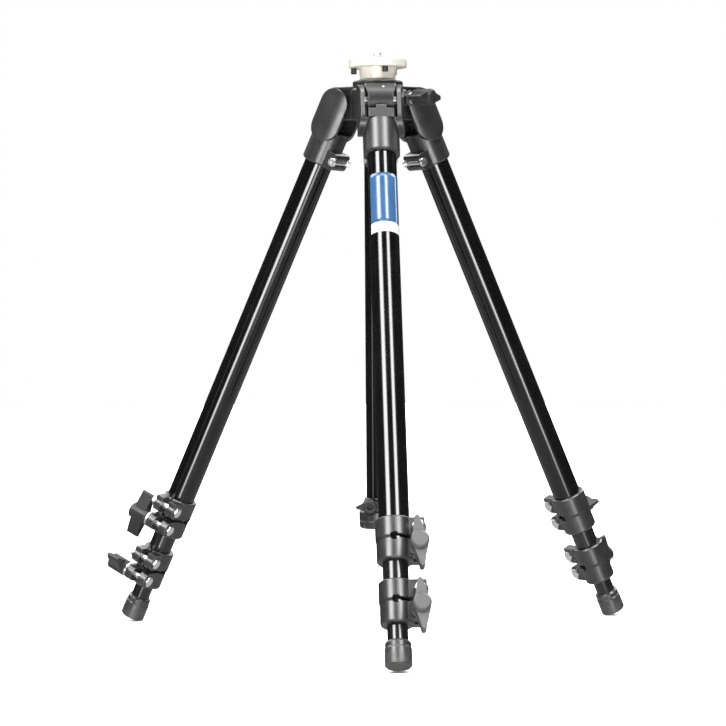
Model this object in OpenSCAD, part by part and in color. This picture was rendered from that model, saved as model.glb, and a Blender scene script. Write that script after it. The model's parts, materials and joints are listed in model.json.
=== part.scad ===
// Three-section aluminium tripod with a bare 3/8 inch head plate.
// Legs stand at their working spread, all sections pushed home, column down.
// Millimetres, +Z up, floor at z = 0, front leg towards -Y.

/* [Stance] */
// Angle of every leg from the vertical
leg_angle = 25.8; // [20:0.1:30]
// Distance of the leg pivots from the column axis
pivot_radius = 41.4; // [41:0.1:44]

/* [Leg tubes] */
// Outer diameter of the upper leg tube
upper_tube_d = 29.8; // [29:0.1:30]
// Outer diameter of the middle leg tube
middle_tube_d = 24.8; // [24:0.1:25]
// Outer diameter of the lower leg tube
lower_tube_d = 19.8; // [19:0.1:20]
// Wall of the leg tubes
tube_wall = 1.2; // [1:0.1:1.3]

/* [Leg layout, measured down the leg from its pivot] */
// Top of the upper lock collar
upper_lock_at = 464.6; // [440:1:470]
// Top of the lower lock collar
lower_lock_at = 527.4; // [522:0.2:532]
// End of the rubber foot
foot_end_at = 611; // [602:0.1:622]
// Length of the rubber foot
foot_len = 25; // [22:0.5:28]
// Diameter of the rubber foot
foot_d = 26; // [24:0.5:28]

/* [Lock collars] */
// Height of a lock collar
lock_h = 42.8; // [42:0.2:46]
// Outer diameter of the upper lock collar
upper_lock_d = 37.2; // [36:0.2:38]
// Outer diameter of the lower lock collar
lower_lock_d = 34; // [33:0.2:35]
// Gap between the two ears of a collar
ear_gap = 8.6; // [7:0.2:10]

/* [Column] */
// Outer diameter of the centre column
column_d = 29.4; // [28:0.2:29.4]
// Wall of the centre column
column_wall = 2; // [1.5:0.1:2.5]
// Height of the column's lower end above the floor
column_end_z = 143; // [130:1:180]

/* [Head plate] */
// Diameter of the head plate
plate_d = 61; // [56:0.5:64]
// Thickness of the head plate
plate_t = 8.2; // [6:0.2:9]
// Diameter of the 3/8 inch stud
stud_d = 9.52; // [9.5:0.01:9.53]
// Stud length above the plate
stud_h = 9.5; // [8:0.1:11]

/* [Hidden] */
$fn = 96;

sa = sin(leg_angle);
ca = cos(leg_angle);
upper_r = upper_tube_d / 2;
middle_r = middle_tube_d / 2;
lower_r = lower_tube_d / 2;
col_r = column_d / 2;
col_in_r = col_r - column_wall;
foot_r = foot_d / 2;
// rubber edge that the foot stands on sets the height of the pivots
pivot_z = foot_end_at * ca + (foot_r - 1.5) * sa;
// the column axis, seen from the middle of the footprint's box
axis_x = 9.3;
axis_y = 69.3;
run = 0.05;              // radial running clearance
arm_r = 17.6;            // round end of a spider arm
pin_r = 4;               // leg pivot pin
cheek_in = 16.6;         // inner face of a casting cheek
cheek_r = 16;            // half width of a cheek
cheek_low = 24.5;        // centre of a cheek's lower round end
socket_r = 18.8;
socket_top = 28.8;
socket_end = 66;
hub_low = pivot_z - 17;
hub_top = pivot_z + 23;
arm_top = pivot_z + 17.4;
bush_r = 18.5;
stem_low = hub_top + 1.9;
stem_top = stem_low + 12.1;
plate_top = stem_top + plate_t;
shank_r = 3.6;             // stud shank below its thread
lock_z = pivot_z + 4;    // height of the column lock
bolt_x = 22;             // lock bolts, sideways from the tube axis
bolt_1 = -9.8;           // and below the collar's top
bolt_2 = -31.6;
slit_z = -20.9;          // cross slit between the two clamps
bolt_r = 3.2;
ear_out = 13;
shoulder = lock_h - 6;   // where a tube end stands inside its collar
black = [0.10, 0.10, 0.11];
grey = [0.22, 0.22, 0.23];
chrome = [0.85, 0.85, 0.86];
cream = [0.90, 0.88, 0.83];
rubber = [0.16, 0.16, 0.16];

// ---- placing -------------------------------------------------------------
module on_axis() { translate([axis_x, axis_y, 0]) children(); }
// k = 0 front, 1 right, 2 left. Inside: pivot at the origin, the leg runs
// down -Z, outwards is -Y and the lock ears point to +X.
module on_leg(k) {
  on_axis() rotate([0, 0, 120 * k]) translate([0, -pivot_radius, pivot_z])
    rotate([-leg_angle, 0, 0]) children();
}
module along_x() { rotate([90, 0, 90]) children(); }
module out_of(x, z, y) { translate([x, y, z]) rotate([90, 0, 0]) children(); }

// ---- shared shapes ---------------------------------------------------------
module tube(r, ri, z0, z1) {
  translate([0, 0, z0]) difference() {
    cylinder(r = r, h = z1 - z0);
    translate([0, 0, -1]) cylinder(r = ri, h = z1 - z0 + 2);
  }
}
// wing knob: base at z = 0, axis +Z, wings along +-Y
module wing_knob(r, h, wing, w0, w1, t, bore, deep) {
  difference() {
    union() {
      rotate_extrude() polygon([[0, 0], [r - 0.8, 0], [r, 0.8], [r, h - 1.6], [r - 1.6, h], [0, h]]);
      for (a = [0, 180]) rotate([0, 0, a]) translate([0, 0, w0]) linear_extrude(w1 - w0) {
        polygon([[-0.84 * r, 2], [0.84 * r, 2], [t / 2, wing - t / 2], [-t / 2, wing - t / 2]]);
        translate([0, wing - t / 2]) circle(d = t, $fn = 48);
      }
    }
    translate([0, 0, -1]) cylinder(r = bore, h = deep + 1);
  }
}
module hex_head(r, h) {
  intersection() {
    cylinder(r = r, h = h, $fn = 6);
    rotate_extrude() polygon([[0, 0], [r * 0.98, 0], [r * 0.98, h - 1], [r - 1.6, h], [0, h]]);
  }
}

// ---- head and column -------------------------------------------------------
module arm() {
  intersection() {
    along_x() translate([0, 0, -20]) linear_extrude(40) {
      translate([-pivot_radius, pivot_z]) circle(r = arm_r);
      polygon([[-20, arm_top], [-pivot_radius - 4, arm_top], [-pivot_radius - 15.5, pivot_z + 8.4],
        [-pivot_radius, pivot_z], [-pivot_radius, pivot_z - arm_r], [-20, pivot_z - 17]]);
    }
    translate([0, -15, 0]) rotate([90, 0, 0]) linear_extrude(60) polygon([
      [-13, pivot_z - 20], [13, pivot_z - 20], [13, pivot_z + 5.6], [15.9, pivot_z + 14.6],
      [15.9, arm_top + 1], [-15.9, arm_top + 1], [-15.9, pivot_z + 14.6], [-13, pivot_z + 5.6]]);
  }
}
module spider() {
  color(grey) on_axis() difference() {
    union() {
      rotate_extrude() polygon([[0, hub_low], [26.3, hub_low], [27.8, hub_low + 1.5], [27.8, hub_top - 9.5],
        [26.2, hub_top - 8], [26.2, hub_top - 1.2], [25, hub_top], [0, hub_top]]);
      for (k = [0:2]) rotate([0, 0, 120 * k]) arm();
      rotate([0, 0, -30]) translate([20, 0, lock_z]) along_x() rotate_extrude()
        polygon([[0, 0], [9.4, 0], [9.4, 11], [8, 13.5], [8, 18], [0, 18]]);
    }
    translate([0, 0, hub_low - 1]) cylinder(r = bush_r + run, h = 60);
    for (k = [0:2]) rotate([0, 0, 120 * k]) translate([-25, -pivot_radius, pivot_z])
      along_x() cylinder(r = pin_r + run, h = 50);
    rotate([0, 0, -30]) translate([10, 0, lock_z]) along_x() cylinder(r = 4 + run, h = 40);
  }
}
module column_bush() {
  color([0.3, 0.3, 0.31]) on_axis() {
    tube(bush_r, col_r + run, hub_low + 0.2, hub_top);
    tube(20.5, col_r + run, hub_top, hub_top + 0.9);
    // key that keeps the column from turning
    translate([-1.5, col_r - 0.9, hub_low + 0.2]) cube([3, 1.2, 38]);
  }
}
module column_tube() {
  color(black) on_axis() difference() {
    tube(col_r, col_in_r, column_end_z, stem_low + 6.6);
    translate([-1.6, col_r - 1, column_end_z + 22]) cube([3.2, 3, stem_low - column_end_z - 24]);
  }
}
module head_stem() {
  color(cream) on_axis() difference() {
    rotate_extrude() polygon([[0, stem_low], [18.2, stem_low], [18.6, stem_low + 0.5], [19.4, stem_top], [0, stem_top]]);
    translate([0, 0, stem_low - 1]) cylinder(r = col_r, h = 7.6);
    translate([0, 0, stem_low + 5]) cylinder(r = shank_r, h = 20);
  }
}
module head_plate() {
  color(cream) on_axis() difference() {
    rotate_extrude() polygon([[0, stem_top], [plate_d / 2 - 1, stem_top], [plate_d / 2, stem_top + 1],
      [plate_d / 2, plate_top - 0.6], [plate_d / 2 - 0.6, plate_top], [0, plate_top]]);
    translate([0, 0, stem_top - 1]) cylinder(r = shank_r, h = plate_t + 2);
    for (a = [45:120:285]) rotate([0, 0, a]) translate([25.5, 0, stem_top - 1]) cylinder(r = 3, h = plate_t + 2);
  }
}
module head_stud() {
  color(chrome) on_axis() rotate_extrude() polygon([[0, stem_low + 7], [shank_r, stem_low + 7],
    [shank_r, plate_top + 2.1], [stud_d / 2, plate_top + 2.1], [stud_d / 2, plate_top + stud_h - 0.8], [stud_d / 2 - 0.8, plate_top + stud_h], [0, plate_top + stud_h]]);
}
module head_set_screws() {
  color(black) on_axis() for (a = [45:120:285]) rotate([0, 0, a]) translate([25.5, 0, stem_top - 6]) difference() {
    cylinder(r = 3, h = plate_t + 4);
    translate([0, 0, -1]) cylinder(r = 1.7, h = 4, $fn = 6);
  }
}
module column_lock_bolt() {
  color(chrome) on_axis() rotate([0, 0, -30]) translate([0, 0, lock_z]) along_x() {
    translate([0, 0, bush_r + 0.35]) cylinder(r = 4, h = 44);
    translate([0, 0, 38.4]) rotate_extrude() polygon([[3, 0], [6, 0], [6.6, 0.6], [6.6, 3.6], [6, 4.2], [3, 4.2]]);
  }
}
module column_lock_knob() {
  color(black) on_axis() rotate([0, 0, -30]) translate([42.7, 0, lock_z]) along_x()
    rotate([0, 0, 92]) wing_knob(8.8, 22, 23.5, 4, 19, 5, 4, 20.3);
}
module column_end_block() {
  z = column_end_z;
  color(grey) on_axis() difference() {
    rotate_extrude() polygon([[0, z - 32], [19.5, z - 32], [21.6, z - 30.4], [22.3, z - 26], [22.3, z - 24.6],
      [21.7, z - 24.3], [21.7, z - 23.7], [22.3, z - 23.4], [22.3, z - 14.8], [21, z - 13.5], [17, z - 13.5],
      [17, z - 0.8], [16.2, z], [col_in_r, z], [col_in_r, z + 19], [col_in_r - 1, z + 20], [0, z + 20]]);
    out_of(-12.5, z - 7.6, 5) cylinder(r = 2.5 + run, h = 30);
    out_of(-12.5, z - 7.6, -11) cylinder(r = 9.4, h = 20);
    for (a = [20:40:340]) rotate([0, 0, a]) translate([22.8, 0, z - 33]) cylinder(r = 1.8, h = 5.5, $fn = 24);
  }
}
module column_end_knob() {
  color(black) on_axis() out_of(-12.5, column_end_z - 7.6, -11.4) {
    difference() {
      union() {
        cylinder(r = 7.4, h = 2.4);
        rotate([0, 0, 94]) wing_knob(7.3, 19.6, 14.6, 11.6, 17, 3.6, 1, 0);
      }
      translate([0, 0, 15.6]) cylinder(r = 4.2, h = 6, $fn = 6);
    }
    translate([0, 0, -15.8]) cylinder(r = 2.5, h = 18);
  }
}

// ---- leg -------------------------------------------------------------------
module cheek_outline() {
  circle(r = cheek_r);
  translate([-cheek_r, -cheek_low]) square([2 * cheek_r, cheek_low]);
  translate([0, -cheek_low]) circle(r = cheek_r);
}
module cheek() {
  intersection() {
    along_x() translate([0, 0, cheek_in]) linear_extrude(12) cheek_outline();
    translate([24.2 - 36.4, 0, -60]) cylinder(r = 36.4, h = 90, $fn = 192);
  }
}
module leg_casting(k) {
  color(grey) on_leg(k) difference() {
    union() {
      for (m = [0, 1]) mirror([m, 0, 0]) {
        cheek();
        // pointed gusset between the cheek and the socket
        intersection() {
          translate([0, 15.5, 0]) rotate([90, 0, 0]) linear_extrude(31)
            polygon([[12.8, -socket_top], [17, -socket_top], [19.8, -30], [18.6, -41]]);
          along_x() translate([0, 0, 10]) linear_extrude(12) cheek_outline();
        }
      }
      rotate_extrude() polygon([[0, -socket_top], [socket_r - 0.6, -socket_top], [socket_r, -socket_top - 0.6],
        [socket_r, -socket_end + 1.6], [socket_r - 1.6, -socket_end], [0, -socket_end]]);
      // clamp lugs on the inner side
      along_x() translate([0, 0, -15]) linear_extrude(30) {
        translate([6, -socket_end]) square([15, socket_end - 47.6]);
        translate([20.5, -socket_end + 4]) square([4, socket_end - 55.6]);
        translate([20.5, -51.6]) circle(r = 4);
        translate([20.5, -socket_end + 4]) circle(r = 4);
      }
    }
    translate([0, 0, -socket_end - 1]) cylinder(r = upper_r + run, h = socket_end + 1 - 34);
    // window between the lugs
    translate([-9.2, socket_r + 0.6, -60.4]) cube([18.4, 20, 6.9]);
    translate([-20.6, 0, 0]) along_x() cylinder(r = pin_r, h = 41.2);
    translate([-20, 22.2, -56.8]) along_x() cylinder(r = 2.9, h = 40);
  }
}
module pivot_pin(k) { color(chrome) on_leg(k) translate([-20.4, 0, 0]) along_x() cylinder(r = pin_r, h = 40.8); }
module clamp_pin(k) {
  color(chrome) on_leg(k) translate([0, 22.2, -56.8]) {
    translate([-15.5, 0, 0]) along_x() cylinder(r = 2.9, h = 31);
    for (m = [0, 1]) mirror([m, 0, 0]) translate([15, 0, 0]) along_x() rotate_extrude()
      polygon([[0, 0], [4.7, 0], [4.7, 1.4], [3.8, 2.4], [0, 2.6]]);
  }
}
module angle_latch(k) {
  color(grey) on_leg(k) {
    translate([0, 3, 0]) rotate([90, 0, 0]) linear_extrude(20.4)
      polygon([[-13, -28.4], [13, -28.4], [13, -18.7], [-13, -18.7]]);
    translate([0, -11.6, 0]) rotate([90, 0, 0]) linear_extrude(5.8)
      polygon([[-5.2, -20], [5.2, -20], [5.2, -14.6], [-5.2, -14.6]]);
  }
}
module lock_collar(r, big, small, at) {
  translate([0, 0, -at]) difference() {
    union() {
      rotate_extrude() polygon([[0, 0], [r - 1.2, 0], [r, -1.2], [r, -19.6], [r - 0.8, -22.6], [r - 0.8, -lock_h + 1.5],
        [r - 2, -lock_h], [0, -lock_h]]);
      for (m = [0, 1]) mirror([0, m, 0]) {
        translate([0, ear_out, 0]) rotate([90, 0, 0]) linear_extrude(ear_out - ear_gap / 2) {
          translate([8, bolt_1 - 9]) square([bolt_x - 8, 18]);
          translate([bolt_x, bolt_1 - 1]) circle(r = 8);
          translate([bolt_x, bolt_1 + 3]) square([6.5, 6]);
          translate([8, bolt_2 - 8.6]) square([bolt_x - 8, 17.2]);
          translate([bolt_x, bolt_2]) circle(r = 8.6);
        }
      }
    }
    translate([0, 0, -shoulder]) cylinder(r = big + run, h = shoulder + 1);
    translate([0, 0, -lock_h - 1]) cylinder(r = small + run, h = 20);
    // split through the wall, and the cross slit between the two clamps
    translate([small - 2, -1.1, -lock_h - 1]) cube([30, 2.2, lock_h + 2]);
    translate([-1, -30, slit_z - 2]) cube([60, 60, 4]);
    translate([-1, 30, slit_z]) rotate([90, 0, 0]) cylinder(r = 4.2, h = 60);
    for (z = [bolt_1, bolt_2]) {
      translate([bolt_x, 30, z]) rotate([90, 0, 0]) cylinder(r = bolt_r, h = 60);
      translate([bolt_x, 30, z]) rotate([90, 0, 0]) cylinder(r = 7, h = 30 - ear_out + 0.8);
    }
  }
}
module lock_bolts(at) {
  translate([bolt_x, 0, -at]) {
    translate([0, ear_out - 0.8, bolt_1]) rotate([-90, 0, 0]) hex_head(6.2, 4);
    translate([0, ear_out - 0.8, bolt_2]) rotate([-90, 0, 0]) hex_head(6.2, 4);
    translate([0, ear_out, bolt_1]) rotate([90, 0, 0]) cylinder(r = bolt_r, h = 2 * ear_out + 5.5);
    translate([0, ear_out, bolt_2]) rotate([90, 0, 0]) cylinder(r = bolt_r, h = 2 * ear_out + 21);
    translate([0, -ear_out, bolt_1]) rotate([90, 0, 0]) hex_head(5.8, 4.6);
    // spring washer under the knob
    translate([0, -ear_out, bolt_2]) rotate([90, 0, 0]) rotate_extrude()
      polygon([[bolt_r, 0], [8, 0], [8.4, 0.4], [8.4, 0.9], [7.4, 1.3], [8.4, 1.7], [8.4, 2.3], [8, 2.7], [bolt_r, 2.7]]);
  }
}
module lock_knob(at, turn) {
  out_of(bolt_x, -at + bolt_2, -ear_out - 3.1) rotate([0, 0, turn])
    wing_knob(8.8, 22, 25.6, 3.5, 17.5, 5, bolt_r + run, 19);
}
module slide_bush(r_out, r_in, z0) {
  translate([0, 0, -z0]) difference() {
    rotate_extrude() polygon([[r_in, 0], [r_out - 0.5, 0], [r_out, -0.5], [r_out, -27.5], [r_out - 0.5, -28], [r_in, -28]]);
    for (a = [0, 120, 240]) rotate([0, 0, a]) translate([0, r_in + 5.6, -24]) cube([1.6, 10, 60], center = true);
  }
}
module upper_tube(k) { color(black) on_leg(k) tube(upper_r, upper_r - tube_wall, -upper_lock_at - shoulder + 0.1, -34.1); }
module upper_lock_collar(k) { color(grey) on_leg(k) lock_collar(upper_lock_d / 2, upper_r, middle_r, upper_lock_at); }
module upper_lock_bolts(k) { color(chrome) on_leg(k) lock_bolts(upper_lock_at); }
module upper_lock_knob(k, turn) { color(black) on_leg(k) lock_knob(upper_lock_at, turn); }
module middle_bush(k) { color([0.75, 0.75, 0.72]) on_leg(k) slide_bush(upper_r - tube_wall - run, middle_r, 62); }
module middle_tube(k) { color(black) on_leg(k) tube(middle_r, middle_r - tube_wall, -lower_lock_at - shoulder + 0.1, -62); }
module lower_lock_collar(k) { color(grey) on_leg(k) lock_collar(lower_lock_d / 2, middle_r, lower_r, lower_lock_at); }
module lower_lock_bolts(k) { color(chrome) on_leg(k) lock_bolts(lower_lock_at); }
module lower_lock_knob(k, turn) { color(black) on_leg(k) lock_knob(lower_lock_at, turn); }
module lower_bush(k) { color([0.75, 0.75, 0.72]) on_leg(k) slide_bush(middle_r - tube_wall - run, lower_r, 82); }
module lower_tube(k) { color(black) on_leg(k) tube(lower_r, lower_r - tube_wall, -foot_end_at + foot_len - 15, -82); }
module foot(k) {
  color(rubber) on_leg(k) translate([0, 0, -foot_end_at]) difference() {
    rotate_extrude() polygon([[0, 0], [foot_r - 1.5, 0], [foot_r, 1.5], [foot_r, foot_len - 7.5], [foot_r - 0.6, foot_len - 6.6],
      [foot_r - 0.5, foot_len - 2], [foot_r - 2, foot_len], [0, foot_len]]);
    translate([0, 0, foot_len - 15]) cylinder(r = lower_r, h = 20);
    for (a = [0:30:330]) rotate([0, 0, a]) translate([foot_r - 4.5, 0, -1]) cylinder(r = 1.1, h = 2, $fn = 12);
  }
}

spider();
column_bush();
column_tube();
head_stem();
head_plate();
head_stud();
head_set_screws();
column_lock_knob();
column_lock_bolt();
column_end_block();
column_end_knob();
leg_casting(0);  // front_leg_casting
pivot_pin(0);  // front_pivot_pin
clamp_pin(0);  // front_clamp_pin
angle_latch(0);  // front_angle_latch
upper_tube(0);  // front_upper_tube
upper_lock_collar(0);  // front_upper_lock_collar
upper_lock_bolts(0);  // front_upper_lock_bolts
upper_lock_knob(0, 5);  // front_upper_lock_knob
middle_bush(0);  // front_middle_bush
middle_tube(0);  // front_middle_tube
lower_lock_collar(0);  // front_lower_lock_collar
lower_lock_bolts(0);  // front_lower_lock_bolts
lower_lock_knob(0, 3);  // front_lower_lock_knob
lower_bush(0);  // front_lower_bush
lower_tube(0);  // front_lower_tube
foot(0);  // front_foot
leg_casting(1);  // right_leg_casting
pivot_pin(1);  // right_pivot_pin
clamp_pin(1);  // right_clamp_pin
angle_latch(1);  // right_angle_latch
upper_tube(1);  // right_upper_tube
upper_lock_collar(1);  // right_upper_lock_collar
upper_lock_bolts(1);  // right_upper_lock_bolts
upper_lock_knob(1, 78);  // right_upper_lock_knob
middle_bush(1);  // right_middle_bush
middle_tube(1);  // right_middle_tube
lower_lock_collar(1);  // right_lower_lock_collar
lower_lock_bolts(1);  // right_lower_lock_bolts
lower_lock_knob(1, 22);  // right_lower_lock_knob
lower_bush(1);  // right_lower_bush
lower_tube(1);  // right_lower_tube
foot(1);  // right_foot
leg_casting(2);  // left_leg_casting
pivot_pin(2);  // left_pivot_pin
clamp_pin(2);  // left_clamp_pin
angle_latch(2);  // left_angle_latch
upper_tube(2);  // left_upper_tube
upper_lock_collar(2);  // left_upper_lock_collar
upper_lock_bolts(2);  // left_upper_lock_bolts
upper_lock_knob(2, 180);  // left_upper_lock_knob
middle_bush(2);  // left_middle_bush
middle_tube(2);  // left_middle_tube
lower_lock_collar(2);  // left_lower_lock_collar
lower_lock_bolts(2);  // left_lower_lock_bolts
lower_lock_knob(2, 118);  // left_lower_lock_knob
lower_bush(2);  // left_lower_bush
lower_tube(2);  // left_lower_tube
foot(2);  // left_foot
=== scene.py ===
import json
from math import cos, pi, radians, sin

import bmesh
import bpy
from mathutils import Matrix, Vector


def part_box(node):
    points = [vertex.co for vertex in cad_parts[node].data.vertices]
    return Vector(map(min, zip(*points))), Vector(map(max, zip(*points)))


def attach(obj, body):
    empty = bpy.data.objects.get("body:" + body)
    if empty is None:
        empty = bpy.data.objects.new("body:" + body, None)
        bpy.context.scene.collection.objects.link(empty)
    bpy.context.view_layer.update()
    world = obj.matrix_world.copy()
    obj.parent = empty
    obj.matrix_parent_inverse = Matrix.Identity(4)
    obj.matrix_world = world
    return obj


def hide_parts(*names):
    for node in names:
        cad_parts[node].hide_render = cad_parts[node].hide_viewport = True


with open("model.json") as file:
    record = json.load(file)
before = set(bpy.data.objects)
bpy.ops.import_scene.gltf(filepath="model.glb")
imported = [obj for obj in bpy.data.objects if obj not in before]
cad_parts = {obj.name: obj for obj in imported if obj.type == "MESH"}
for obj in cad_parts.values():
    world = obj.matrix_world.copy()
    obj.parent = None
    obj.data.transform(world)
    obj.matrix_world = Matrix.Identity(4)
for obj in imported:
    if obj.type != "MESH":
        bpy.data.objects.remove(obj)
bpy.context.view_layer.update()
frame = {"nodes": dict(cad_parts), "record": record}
NODES = frame["nodes"]
LEGS = ("front", "right", "left")
MM = 0.001


# ---------------------------------------------------------------- places

def mid(node):
    lo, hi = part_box(node)
    return (lo + hi) / 2


AXIS = mid("column_tube")  # the column stands on this line

LEG_TILT = radians(25.8)
SA, CA = sin(LEG_TILT), cos(LEG_TILT)


def leg_frame(k):
    """Columns x (sideways), y (towards the column) and z (up the leg), with the leg's pivot as origin."""
    az = radians(-90 + 120 * k)
    o = Vector((cos(az), sin(az), 0))
    t = Vector((-o.y, o.x, 0))
    d = Vector((o.x * SA, o.y * SA, -CA))
    n = Vector((o.x * CA, o.y * CA, SA))
    pin = mid(LEGS[k] + "_pivot_pin")
    m = Matrix((t, -n, -d)).transposed().to_4x4()
    m.translation = pin
    return m


LEG = [leg_frame(k) for k in range(3)]
UPRIGHT = Matrix.Translation((AXIS.x, AXIS.y, 0))


# ---------------------------------------------------------------- shader helpers

class Shader:
    """One material and short ways to add and wire its nodes."""

    def __init__(self, name, place=UPRIGHT):
        self.mat = bpy.data.materials.new(name)
        self.mat.use_nodes = True
        self.nt = self.mat.node_tree
        self.nt.nodes.clear()
        self.out = self.add("ShaderNodeOutputMaterial")
        self.bsdf = self.add("ShaderNodeBsdfPrincipled")
        self.link(self.bsdf.outputs["BSDF"], self.out.inputs["Surface"])
        coord = self.add("ShaderNodeTexCoord")
        mapping = self.add("ShaderNodeMapping")
        mapping.vector_type = "TEXTURE"
        mapping.inputs["Location"].default_value = place.to_translation()
        mapping.inputs["Rotation"].default_value = place.to_euler()
        self.link(coord.outputs["Object"], mapping.inputs["Vector"])
        self.local = mapping.outputs["Vector"]

    def add(self, kind):
        return self.nt.nodes.new(kind)

    def link(self, a, b):
        self.nt.links.new(a, b)

    def put(self, socket, value):
        if isinstance(value, bpy.types.NodeSocket):
            self.link(value, socket)
        else:
            socket.default_value = value

    def math(self, op, a, b=0.0, c=0.0, clamp=False):
        n = self.add("ShaderNodeMath")
        n.operation = op
        n.use_clamp = clamp
        for s, v in zip(n.inputs, (a, b, c)):
            self.put(s, v)
        return n.outputs[0]

    def split(self, vector):
        n = self.add("ShaderNodeSeparateXYZ")
        self.link(vector, n.inputs[0])
        return n.outputs

    def scaled(self, sx, sy, sz, vector=None):
        n = self.add("ShaderNodeVectorMath")
        n.operation = "MULTIPLY"
        self.link(vector or self.local, n.inputs[0])
        n.inputs[1].default_value = (sx, sy, sz)
        return n.outputs[0]

    def noise(self, scale, detail=3.0, rough=0.55, vector=None, distort=0.0):
        n = self.add("ShaderNodeTexNoise")
        n.inputs["Scale"].default_value = scale
        n.inputs["Detail"].default_value = detail
        n.inputs["Roughness"].default_value = rough
        n.inputs["Distortion"].default_value = distort
        self.link(vector or self.local, n.inputs["Vector"])
        return n.outputs["Fac"]

    def cells(self, scale, vector=None):
        n = self.add("ShaderNodeTexVoronoi")
        n.inputs["Scale"].default_value = scale
        self.link(vector or self.local, n.inputs["Vector"])
        return n.outputs["Distance"]

    def ranged(self, value, a, b, c=0.0, d=1.0, smooth=False):
        n = self.add("ShaderNodeMapRange")
        n.interpolation_type = "SMOOTHSTEP" if smooth else "LINEAR"
        self.link(value, n.inputs["Value"])
        for s, v in zip(("From Min", "From Max", "To Min", "To Max"), (a, b, c, d)):
            n.inputs[s].default_value = v
        return n.outputs["Result"]

    def mix(self, factor, a, b):
        n = self.add("ShaderNodeMix")
        n.data_type = "RGBA"
        self.put(n.inputs["Factor"], factor)
        for s, v in ((n.inputs[6], a), (n.inputs[7], b)):
            self.put(s, v if isinstance(v, bpy.types.NodeSocket) else (*v, 1.0))
        return n.outputs[2]

    def round_edges(self, radius, samples=4):
        n = self.add("ShaderNodeBevel")
        n.samples = samples
        n.inputs["Radius"].default_value = radius
        return n.outputs["Normal"]

    def edge_mask(self, normal, low=0.02, high=0.25):
        """1 on edges, 0 on flats: how far the rounded normal leans from the true one. Most materials paint wear there;
        on the spider and latch castings it also carries a painted highlight.
        """
        geo = self.add("ShaderNodeNewGeometry")
        dot = self.add("ShaderNodeVectorMath")
        dot.operation = "DOT_PRODUCT"
        self.link(normal, dot.inputs[0])
        self.link(geo.outputs["Normal"], dot.inputs[1])
        lean = self.math("SUBTRACT", 1.0, dot.outputs["Value"])
        return self.ranged(lean, low, high, smooth=True)

    def bump(self, height, distance, normal=None, strength=1.0):
        n = self.add("ShaderNodeBump")
        n.inputs["Strength"].default_value = strength
        n.inputs["Distance"].default_value = distance
        self.link(height, n.inputs["Height"])
        if normal is not None:
            self.link(normal, n.inputs["Normal"])
        return n.outputs["Normal"]

    def seam(self, value, half):
        """A raised mould line where value is within half of 0."""
        return self.ranged(self.math("ABSOLUTE", value), half * 0.4, half, 1.0, 0.0, smooth=True)

    def finish(self, color, rough, normal=None, **sockets):
        self.put(self.bsdf.inputs["Base Color"], color if isinstance(color, bpy.types.NodeSocket) else (*color, 1.0))
        self.put(self.bsdf.inputs["Roughness"], rough)
        if normal is not None:
            self.link(normal, self.bsdf.inputs["Normal"])
        for name, value in sockets.items():
            self.bsdf.inputs[name.replace("_", " ")].default_value = value
        return self.mat


# ---------------------------------------------------------------- materials

def casting(name, place, seam_axis=None, edge=0.0008, dull=False):
    """Die-cast alloy under satin black powder coat: fine sand grain, soft mottling, rubbed grey edges. With dull set
    (spider and latch) the edges are wider and paler: wear plus a painted highlight along the bevels.
    """
    s = Shader(name, place)
    edge_n = s.round_edges(edge)
    worn = s.edge_mask(edge_n)
    blot = s.noise(55, 4, 0.6)
    grain = s.noise(1500, 2, 0.6)
    rub = s.ranged(s.noise(260, 4, 0.65), 0.42, 0.66)
    base = s.mix(s.ranged(blot, 0.3, 0.7), (0.0075, 0.0075, 0.0078), (0.0130, 0.0127, 0.0124))
    base = s.mix(s.ranged(grain, 0.60, 0.76, 0.0, 0.6), base, (0.036, 0.035, 0.034))
    # pale edge colour: rubbed wear; the paler grey of the dull copy is also a painted highlight along the bevels
    edge = s.math("MULTIPLY", worn, s.math("ADD", s.math("MULTIPLY", rub, 0.6), 0.25), clamp=True)
    base = s.mix(edge, base, (0.30, 0.296, 0.285) if dull else (0.20, 0.197, 0.19))
    rough = s.math("ADD", s.ranged(blot, 0.3, 0.7, *((0.36, 0.42) if dull else (0.29, 0.35))), s.ranged(grain, 0.3, 0.7, -0.03, 0.04))
    rough = s.math("SUBTRACT", rough, s.math("MULTIPLY", worn, 0.10 if dull else 0.06))
    height = s.math("ADD", s.math("MULTIPLY", grain, 0.7), s.math("MULTIPLY", s.noise(420, 2), 0.6))
    if seam_axis is not None:
        line = s.seam(s.split(s.local)[seam_axis], 0.00035)
        height = s.math("ADD", height, s.math("MULTIPLY", line, 1.6))
    normal = s.bump(height, 0.00003, edge_n, 0.75)
    return s.finish(base, rough, normal, Specular_IOR_Level=0.36 if dull else 0.70)


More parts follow.
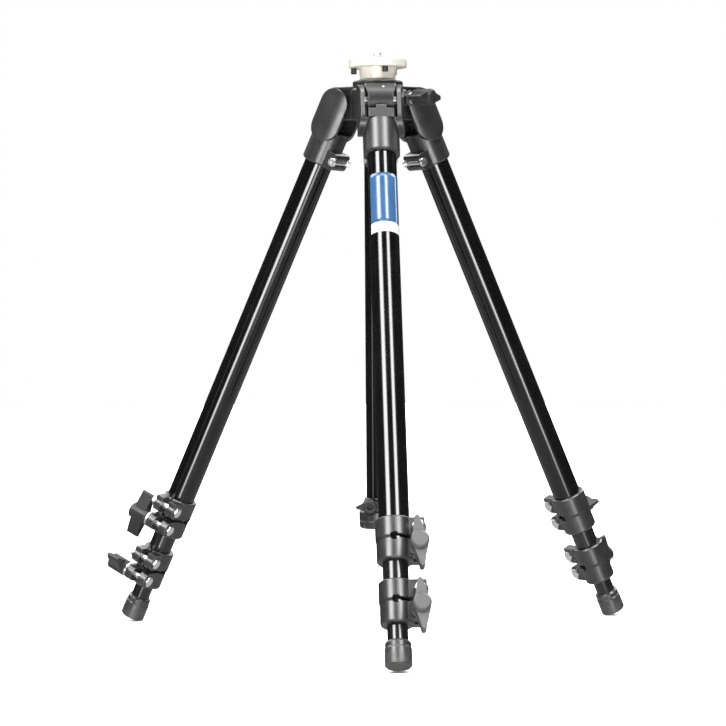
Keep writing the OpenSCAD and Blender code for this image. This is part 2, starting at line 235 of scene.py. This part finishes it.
def tube_black(name, place, worn_tube):
    """Drawn aluminium tube, anodised gloss black: faint lines along the tube, dust and hairline rubs. The inner tubes slide, so they are duller."""
    s = Shader(name, place)
    lines = s.noise(1.0, 4, 0.6, s.scaled(900, 900, 6))
    dust = s.ranged(s.noise(900, 2, 0.5), 0.70, 0.80)
    blot = s.noise(28, 4, 0.6)
    if worn_tube:
        base = s.mix(s.ranged(lines, 0.35, 0.7), (0.0030, 0.0030, 0.0034), (0.0090, 0.0089, 0.0088))
        rough = s.math("ADD", s.ranged(lines, 0.3, 0.7, 0.13, 0.19), s.ranged(blot, 0.3, 0.7, -0.02, 0.03))
        scratch = s.ranged(s.noise(1.0, 2, 0.5, s.scaled(2600, 2600, 14)), 0.66, 0.74)
        base = s.mix(s.math("MULTIPLY", scratch, 0.35), base, (0.16, 0.16, 0.165))
    else:
        base = s.mix(s.ranged(blot, 0.3, 0.7), (0.0012, 0.0012, 0.0014), (0.0026, 0.0026, 0.0029))
        rough = s.math("ADD", s.ranged(lines, 0.3, 0.7, 0.095, 0.135), s.ranged(blot, 0.35, 0.7, 0.0, 0.03))
    base = s.mix(s.math("MULTIPLY", dust, 0.2), base, (0.06, 0.06, 0.058))
    rough = s.math("ADD", rough, s.math("MULTIPLY", dust, 0.12))
    edge_n = s.round_edges(0.0004, 2)
    normal = s.bump(lines, 0.000012, edge_n, 0.6)
    return s.finish(base, rough, normal, Specular_IOR_Level=0.55)


def knob_plastic(name, place, dark=False):
    """Glass-filled nylon, satin black with a fine spark-eroded grain and paler, polished edges where fingers rub. The
    front leg's knobs get paler tones and more pale specks than the dark copy: painted light, a lit copy of the same
    plastic.
    """
    s = Shader(name, place)
    edge_n = s.round_edges(0.0008)
    worn = s.edge_mask(edge_n)
    blot = s.noise(70, 4, 0.6)
    pits = s.cells(1900)
    # painted light: the front knobs take the paler pair of tones, the other knobs the dark pair of the same plastic
    tones = ((0.009, 0.009, 0.0092), (0.015, 0.0148, 0.0146)) if dark else ((0.030, 0.030, 0.0305), (0.045, 0.0445, 0.044))
    base = s.mix(s.ranged(blot, 0.3, 0.7), *tones)
    base = s.mix(s.math("MULTIPLY", worn, 0.55), base, (0.12, 0.12, 0.117))
    # the front knobs get twice the pale specks, part of the same painted light
    base = s.mix(s.ranged(s.noise(650, 3, 0.6), 0.64, 0.78, 0.0, 0.2 if dark else 0.4), base, (0.075, 0.072, 0.068))
    rough = s.math("SUBTRACT", s.ranged(blot, 0.3, 0.7, *((0.36, 0.46) if dark else (0.42, 0.52))), s.math("MULTIPLY", worn, 0.10))
    normal = s.bump(pits, 0.00004, edge_n, 0.7)
    return s.finish(base, rough, normal, Specular_IOR_Level=0.32 if dark else 0.60)


def bright_steel(name, place):
    """Zinc and chrome plated steel: turned rings, hairlines and a little grime in scattered patches."""
    s = Shader(name, place)
    edge_n = s.round_edges(0.00035)
    turn = s.noise(1.0, 3, 0.6, s.scaled(500, 500, 5200))
    blot = s.noise(160, 4, 0.6)
    base = s.mix(s.ranged(blot, 0.35, 0.75), (0.92, 0.915, 0.90), (0.78, 0.77, 0.75))
    base = s.mix(s.ranged(s.noise(480, 3, 0.6), 0.66, 0.76, 0.0, 0.5), base, (0.40, 0.375, 0.33))
    rough = s.math("ADD", s.ranged(turn, 0.3, 0.7, 0.24, 0.34), s.ranged(blot, 0.4, 0.75, 0.0, 0.08))
    normal = s.bump(turn, 0.00002, edge_n, 0.7)
    return s.finish(base, rough, normal, Metallic=1.0)


def black_steel(name, place):
    """Blackened steel screws: dark, oily, rubbed brown-grey at the edges."""
    s = Shader(name, place)
    edge_n = s.round_edges(0.00025)
    worn = s.edge_mask(edge_n)
    blot = s.noise(420, 4, 0.6)
    base = s.mix(s.ranged(blot, 0.3, 0.7), (0.030, 0.030, 0.032), (0.060, 0.057, 0.054))
    base = s.mix(s.math("MULTIPLY", worn, 0.7), base, (0.24, 0.225, 0.21))
    rough = s.ranged(blot, 0.3, 0.7, 0.28, 0.42)
    normal = s.bump(s.noise(2400, 2), 0.00003, edge_n, 0.6)
    return s.finish(base, rough, normal, Metallic=0.6)


def cream_alloy(name, place, turned):
    """Pale satin alloy, warm white. The plate's faces are turned, so their rings run round the axis."""
    s = Shader(name, place)
    edge_n = s.round_edges(0.0006)
    x, y, z = s.split(s.local)
    radius = s.math("SQRT", s.math("ADD", s.math("MULTIPLY", x, x), s.math("MULTIPLY", y, y)))
    ring_at = s.add("ShaderNodeCombineXYZ")
    s.link(s.math("MULTIPLY", radius, 2600.0 if turned else 700.0), ring_at.inputs[0])
    s.link(s.math("MULTIPLY", z, 1700.0), ring_at.inputs[1])
    rings = s.noise(1.0, 2, 0.5, ring_at.outputs[0])
    blot = s.noise(90, 4, 0.6)
    grain = s.noise(2200, 2, 0.5)
    tones = ((0.47, 0.450, 0.405), (0.54, 0.520, 0.475)) if turned else ((0.60, 0.560, 0.490), (0.68, 0.645, 0.575))
    base = s.mix(s.ranged(blot, 0.3, 0.7), *tones)
    base = s.mix(s.ranged(s.noise(330, 4, 0.65), 0.64, 0.76, 0.0, 0.5), base, (0.36, 0.325, 0.27))
    base = s.mix(s.math("MULTIPLY", s.edge_mask(edge_n), 0.35), base, (0.66, 0.645, 0.60))
    rough = s.math("ADD", s.ranged(rings, 0.3, 0.7, 0.30, 0.40), s.ranged(blot, 0.35, 0.7, 0.0, 0.06))
    height = s.math("ADD", s.math("MULTIPLY", rings, 0.8), s.math("MULTIPLY", grain, 0.5))
    normal = s.bump(height, 0.00004, edge_n, 0.8)
    return s.finish(base, rough, normal, Metallic=0.35)


def nylon(name, place):
    """Pale slide bushes: translucent natural nylon, scuffed along the slide."""
    s = Shader(name, place)
    edge_n = s.round_edges(0.0004)
    blot = s.noise(110, 4, 0.6)
    scuff = s.noise(1.0, 3, 0.6, s.scaled(1500, 1500, 60))
    base = s.mix(s.ranged(blot, 0.3, 0.7), (0.47, 0.46, 0.43), (0.56, 0.55, 0.52))
    base = s.mix(s.ranged(scuff, 0.58, 0.74, 0.0, 0.4), base, (0.20, 0.195, 0.185))
    rough = s.ranged(blot, 0.3, 0.7, 0.38, 0.50)
    normal = s.bump(scuff, 0.00003, edge_n, 0.7)
    return s.finish(base, rough, normal, Subsurface_Weight=0.08, Subsurface_Scale=0.001)


def rubber(name, place):
    """Moulded black rubber gone grey: fine grain, dusty and scuffed towards the tread, a faint mould line."""
    s = Shader(name, place)
    edge_n = s.round_edges(0.0010)
    worn = s.edge_mask(edge_n)
    x, y, z = s.split(s.local)
    blot = s.noise(120, 4, 0.65)
    low = s.ranged(z, -0.592, -0.611, 0.0, 1.0, smooth=True)
    base = s.mix(s.ranged(blot, 0.3, 0.7), (0.013, 0.0128, 0.0125), (0.022, 0.0215, 0.021))
    dusty = s.math("MULTIPLY", s.ranged(s.noise(380, 4, 0.65), 0.42, 0.70), s.math("ADD", s.math("MULTIPLY", low, 0.30), 0.08))
    base = s.mix(dusty, base, (0.085, 0.081, 0.074))
    base = s.mix(s.math("MULTIPLY", worn, 0.35), base, (0.10, 0.098, 0.094))
    rough = s.math("ADD", s.ranged(blot, 0.3, 0.7, 0.28, 0.36), s.math("MULTIPLY", low, 0.12))
    height = s.math("ADD", s.noise(1700, 3, 0.6), s.math("MULTIPLY", s.seam(x, 0.0003), 1.3))
    normal = s.bump(height, 0.00004, edge_n, 0.6)
    return s.finish(base, rough, normal, Specular_IOR_Level=0.62)


def label_vinyl(name, place, color, dark, pale):
    """Printed vinyl under a clear film: even ink, slight fading, tiny rubs."""
    s = Shader(name, place)
    blot = s.noise(60, 4, 0.6)
    ink = s.noise(1500, 2, 0.5)
    base = s.mix(s.ranged(blot, 0.3, 0.7), dark, color)
    base = s.mix(s.ranged(ink, 0.66, 0.78, 0.0, 0.35), base, pale)
    base = s.mix(s.ranged(s.noise(1.0, 3, 0.6, s.scaled(900, 900, 90)), 0.68, 0.76, 0.0, 0.3), base, pale)
    rough = s.ranged(blot, 0.3, 0.7, 0.14, 0.20)
    normal = s.bump(s.noise(700, 2), 0.000012, None, 0.6)
    return s.finish(base, rough, normal, Specular_IOR_Level=0.5)


PLACES = {"centre": UPRIGHT, "front": LEG[0], "right": LEG[1], "left": LEG[2]}
MATERIALS = {}


def material_for(node, slot):
    side = next((leg for leg in LEGS if node.startswith(leg + "_")), "centre")
    variant = ""
    if slot == "tube":
        variant = "worn" if ("middle" in node or "lower" in node) else "gloss"
    if slot == "cream_alloy":
        variant = "turned" if "plate" in node else "cast"
    # spider and latch: wide, pale edges, wear plus a painted highlight along the bevels
    if slot == "casting":
        variant = "parted" if node.endswith("leg_casting") or node.endswith("collar") else "bold" if node == "spider" or node.endswith("latch") else ""
    # the front knobs take the paler, lit copy of the knob plastic: painted light
    if slot == "knob":
        variant = "" if side == "front" else "dark"
    key = (slot, side, variant)
    if key not in MATERIALS:
        name = "_".join(p for p in (slot, variant, side) if p)
        place = PLACES[side]
        MATERIALS[key] = {
            "casting": lambda: casting(name, place, 0 if variant == "parted" else None, 0.0019 if variant == "bold" else 0.0008, variant == "bold"),
            "tube": lambda: tube_black(name, place, variant == "worn"),
            "knob": lambda: knob_plastic(name, place, variant == "dark"),
            "steel": lambda: bright_steel(name, place),
            "black_steel": lambda: black_steel(name, place),
            "cream_alloy": lambda: cream_alloy(name, place, variant == "turned"),
            "nylon": lambda: nylon(name, place),
            "rubber": lambda: rubber(name, place),
        }[slot]()
    return MATERIALS[key]


for part in frame["record"]["subparts"]:
    o = NODES[part["node"]]
    m = material_for(part["node"], part["material_slot"])
    if not o.data.materials:
        o.data.materials.append(m)
    for i in range(len(o.data.materials)):
        o.data.materials[i] = m


# ---------------------------------------------------------------- extra pieces

def mesh_object(name, verts, faces, place, material, body, smooth=True):
    me = bpy.data.meshes.new(name)
    me.from_pydata([tuple(v) for v in verts], [], faces)
    me.update()
    bm = bmesh.new()
    bm.from_mesh(me)
    bmesh.ops.remove_doubles(bm, verts=bm.verts, dist=1e-7)
    bmesh.ops.recalc_face_normals(bm, faces=bm.faces)
    bm.to_mesh(me)
    bm.free()
    me.transform(place)
    for p in me.polygons:
        p.use_smooth = smooth
    o = bpy.data.objects.new(name, me)
    bpy.context.scene.collection.objects.link(o)
    me.materials.append(material)
    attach(o, body)
    return o


def grid_faces(rows, cols, closed):
    out = []
    for i in range(rows - 1):
        for j in range(cols if closed else cols - 1):
            a, b = i * cols + j, i * cols + (j + 1) % cols
            out.append((a, b, b + cols, a + cols))
    return out


def threaded_stud():
    """The screw that a head goes on: a plain shank through the plate, a helical thread above it and a cone point."""
    lo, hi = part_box("head_stud")
    r = (hi.x - lo.x) / 2
    shank = 3.58 * MM
    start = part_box("head_plate")[1].z + 2.1 * MM - lo.z
    h = hi.z - lo.z - start
    pitch, cols, rows = 1.5875 * MM, 72, 110
    depth = 0.86 * MM
    verts = [(shank * cos(2 * pi * j / cols), shank * sin(2 * pi * j / cols), z) for z in (0, start) for j in range(cols)]
    for i in range(rows):
        z = h * i / (rows - 1)
        for j in range(cols):
            a = 2 * pi * j / cols
            phase = (z / pitch - j / cols) % 1.0
            tooth = min(1.0, max(0.0, (abs(phase - 0.5) * 2 - 0.12) / 0.76))
            rad = r - depth * tooth * min(1.0, z / (0.6 * MM))
            rad = min(rad, r - (z - (h - 1.1 * MM)) * 0.9)
            verts.append((rad * cos(a), rad * sin(a), start + z))
    faces = grid_faces(rows + 2, cols, True)
    top = (rows + 1) * cols
    verts.append((0, 0, start + h))
    faces += [(top + j, top + (j + 1) % cols, len(verts) - 1) for j in range(cols)]
    verts.append((0, 0, 0))
    faces += [((j + 1) % cols, j, len(verts) - 1) for j in range(cols)]
    place = Matrix.Translation(((lo.x + hi.x) / 2, (lo.y + hi.y) / 2, lo.z))
    o = mesh_object("stud_thread", verts, faces, place, material_for("head_stud", "steel"), "column")
    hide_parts("head_stud")


def tube_wrap(name, radius, a0, a1, z0, z1, thick, place, material, body, corner=0.0):
    """A thin sheet wrapped on a tube, from angle a0 to a1 and height z0 to z1, with rounded corners and its own edge."""
    cols, rows = 61, 15
    inner, outer = [], []
    for i in range(rows):
        v = i / (rows - 1)
        for j in range(cols):
            u = j / (cols - 1)
            a = radians(a0 + (a1 - a0) * u)
            # keep the rounded corners by pulling the ends of the end columns in
            s = min(u, 1 - u) * radians(a1 - a0) * radius
            pull = 0.0
            if corner and s < corner:
                pull = corner - (corner * corner - (corner - s) ** 2) ** 0.5
            z = z0 + pull + (z1 - z0 - 2 * pull) * v
            for ring, r in ((inner, radius), (outer, radius + thick)):
                ring.append((r * sin(a), -r * cos(a), z))
    verts = inner + outer
    n = rows * cols
    faces = [(a, d, c, b) for a, b, c, d in grid_faces(rows, cols, False)]
    faces += [tuple(i + n for i in f) for f in grid_faces(rows, cols, False)]
    for i in range(rows - 1):
        for j in (0, cols - 1):
            a, b = i * cols + j, (i + 1) * cols + j
            faces.append((a, b, b + n, a + n))
    for j in range(cols - 1):
        for i in (0, rows - 1):
            a, b = i * cols + j, i * cols + j + 1
            faces.append((a, b, b + n, a + n))
    return mesh_object(name, verts, faces, place, material, body)


def label():
    """A plain two-colour label round the upper tube of the front leg, with no words or signs."""
    r = (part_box("front_upper_tube")[1].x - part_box("front_upper_tube")[0].x) / 2 + 0.03 * MM
    blue = label_vinyl("label_blue", LEG[0], (0.026, 0.069, 0.150), (0.021, 0.058, 0.130), (0.10, 0.17, 0.27))
    white = label_vinyl("label_white", LEG[0], (0.42, 0.43, 0.44), (0.37, 0.38, 0.39), (0.50, 0.50, 0.50))
    tube_wrap("label_field", r, -64, 96, -147.8 * MM, -92.0 * MM, 0.10 * MM, LEG[0], blue, "front_leg", 0.5 * MM)
    tube_wrap("label_band", r, -64, 96, -159.1 * MM, -147.8 * MM, 0.11 * MM, LEG[0], white, "front_leg", 0.0)
    tube_wrap("label_stripe", r + 0.10 * MM, 52, 56, -146.6 * MM, -93.4 * MM, 0.03 * MM, LEG[0], white, "front_leg", 0.0)


def arm_dowels():
    """The polished end of a small dowel in the nose of each spider arm."""
    steel = material_for("head_stud", "steel")
    for k in range(3):
        az = radians(-90 + 120 * k)
        o = Vector((cos(az), sin(az), 0))
        t = Vector((-o.y, o.x, 0))
        up = radians(50)
        n = o * cos(up) + Vector((0, 0, sin(up)))
        foot = mid(LEGS[k] + "_pivot_pin") + n * 17.55 * MM + t * 3 * MM
        side = t.cross(n)
        verts, rings, cols = [], 6, 24
        for i in range(rings):
            a = 0.5 * pi * i / (rings - 1)
            r, h = 1.15 * MM * cos(a), 0.32 * MM * sin(a)
            for j in range(cols):
                b = 2 * pi * j / cols
                verts.append(foot + n * h + t * (r * cos(b)) + side * (r * sin(b)))
        faces = grid_faces(rings, cols, True)
        faces.append(tuple(range(cols))[::-1])
        mesh_object("dowel_" + LEGS[k], verts, faces, Matrix.Identity(4), steel, "chassis")


threaded_stud()
label()
arm_dowels()


# ---------------------------------------------------------------- floor, light, camera

def floor():
    """A wide pale disc, finely ringed so that it stays flat and smooth."""
    rings, cols = 14, 96
    verts = [(AXIS.x, AXIS.y, 0)]
    for i in range(1, rings + 1):
        r = 7.0 * (i / rings) ** 1.6
        verts += [(AXIS.x + r * cos(2 * pi * j / cols), AXIS.y + r * sin(2 * pi * j / cols), -0.0002) for j in range(cols)]
    verts[0] = (AXIS.x, AXIS.y, -0.0002)
    faces = [(0, 1 + j, 1 + (j + 1) % cols) for j in range(cols)]
    for i in range(rings - 1):
        for j in range(cols):
            a, b = 1 + i * cols + j, 1 + i * cols + (j + 1) % cols
            faces.append((a, a + cols, b + cols, b))
    me = bpy.data.meshes.new("floor")
    me.from_pydata(verts, [], faces)
    me.update()
    o = bpy.data.objects.new("floor", me)
    bpy.context.scene.collection.objects.link(o)
    s = Shader("floor_pale")
    tone = s.noise(3.0, 3, 0.5)
    me.materials.append(s.finish(s.mix(tone, (0.86, 0.86, 0.855), (0.89, 0.89, 0.885)), 0.85, None, Specular_IOR_Level=0.2))
    o.visible_glossy = False
    o.visible_shadow = False


def studio():
    """White surround for the camera. What lights the object is a dim room with a few soft panels round it."""
    world = bpy.data.worlds.new("studio")
    bpy.context.scene.world = world
    world.use_nodes = True
    nt = world.node_tree
    nt.nodes.clear()

    def add(kind):
        return nt.nodes.new(kind)

    def put(socket, value):
        if isinstance(value, bpy.types.NodeSocket):
            nt.links.new(value, socket)
        else:
            socket.default_value = value

    def math(op, a, b=0.0):
        n = add("ShaderNodeMath")
        n.operation = op
        put(n.inputs[0], a)
        put(n.inputs[1], b)
        return n.outputs[0]

    def step(value, a, b):
        n = add("ShaderNodeMapRange")
        n.interpolation_type = "SMOOTHSTEP"
        put(n.inputs["Value"], value)
        n.inputs["From Min"].default_value = a
        n.inputs["From Max"].default_value = b
        return n.outputs["Result"]

    coord = add("ShaderNodeTexCoord")
    xyz = add("ShaderNodeSeparateXYZ")
    nt.links.new(coord.outputs["Generated"], xyz.inputs[0])
    x, y, z = xyz.outputs
    azimuth = math("MULTIPLY", math("ARCTAN2", x, math("MULTIPLY", y, -1.0)), 180 / pi)
    height = math("MULTIPLY", math("ARCSINE", z), 180 / pi)
    total = None
    for a0, a1, e0, e1, soft, power in PANELS:
        p = math("MULTIPLY", step(azimuth, a0 - soft, a0 + soft), step(azimuth, a1 + soft, a1 - soft))
        q = math("MULTIPLY", step(height, e0 - soft, e0 + soft), step(height, e1 + soft, e1 - soft))
        p = math("MULTIPLY", math("MULTIPLY", p, q), power)
        total = p if total is None else math("ADD", total, p)
    below = math("MULTIPLY", step(height, BELOW[0], BELOW[1]), BELOW[2])
    room = math("ADD", math("ADD", total, below), ROOM)
    light = add("ShaderNodeBackground")
    nt.links.new(room, light.inputs["Strength"])
    white = add("ShaderNodeBackground")
    white.inputs["Strength"].default_value = 1.0
    white.inputs["Color"].default_value = (1, 1, 1, 1)
    path = add("ShaderNodeLightPath")
    mix = add("ShaderNodeMixShader")
    nt.links.new(path.outputs["Is Camera Ray"], mix.inputs[0])
    nt.links.new(light.outputs[0], mix.inputs[1])
    nt.links.new(white.outputs[0], mix.inputs[2])
    out = add("ShaderNodeOutputWorld")
    nt.links.new(mix.outputs[0], out.inputs["Surface"])


ROOM = 0.06
BELOW = (-12, -25, 0.60)  # pale floor seen in reflections: fades in below the horizon
# azimuth range (0 is the camera's side, + to its right), height range, softness, brightness
PANELS = [
    (-68, -38, 30, 58, 4, 26.0),
    (20, 46, 34, 62, 4, 26.0),
    (-28, -11, -22, -7, 3, 26.0),
    (3, 20, -26, -12, 3, 24.0),
    (-68, -62, -5, 2, 3, 6.0),
    (-18, 18, -9, 18, 5, 0.6),
    (-40, 60, 63, 86, 4, 14.0),
    (-180, 180, 70, 91, 5, 4.0),
    (-165, -112, 26, 60, 6, 9.0),
    (112, 165, 26, 60, 6, 9.0),
]


def camera():
    cam = bpy.data.cameras.new("camera")
    cam.lens = 135.13
    cam.sensor_width = 36.0
    cam.sensor_fit = "HORIZONTAL"
    cam.clip_end = 50.0
    o = bpy.data.objects.new("camera", cam)
    right = Vector((0.99887736, -0.04691943, -0.00652623))
    ahead = Vector((0.04678365, 0.99871276, -0.01959879))
    up = Vector((0.00743739, 0.01927147, 0.99978663))
    m = Matrix((right, up, -ahead)).transposed().to_4x4()
    m.translation = Vector((-0.14136073, -2.77745355, mid("front_pivot_pin").z - 0.215191))
    o.matrix_world = m
    bpy.context.scene.collection.objects.link(o)
    bpy.context.scene.camera = o


floor()
studio()
camera()
bpy.context.scene.view_settings.view_transform = "Standard"
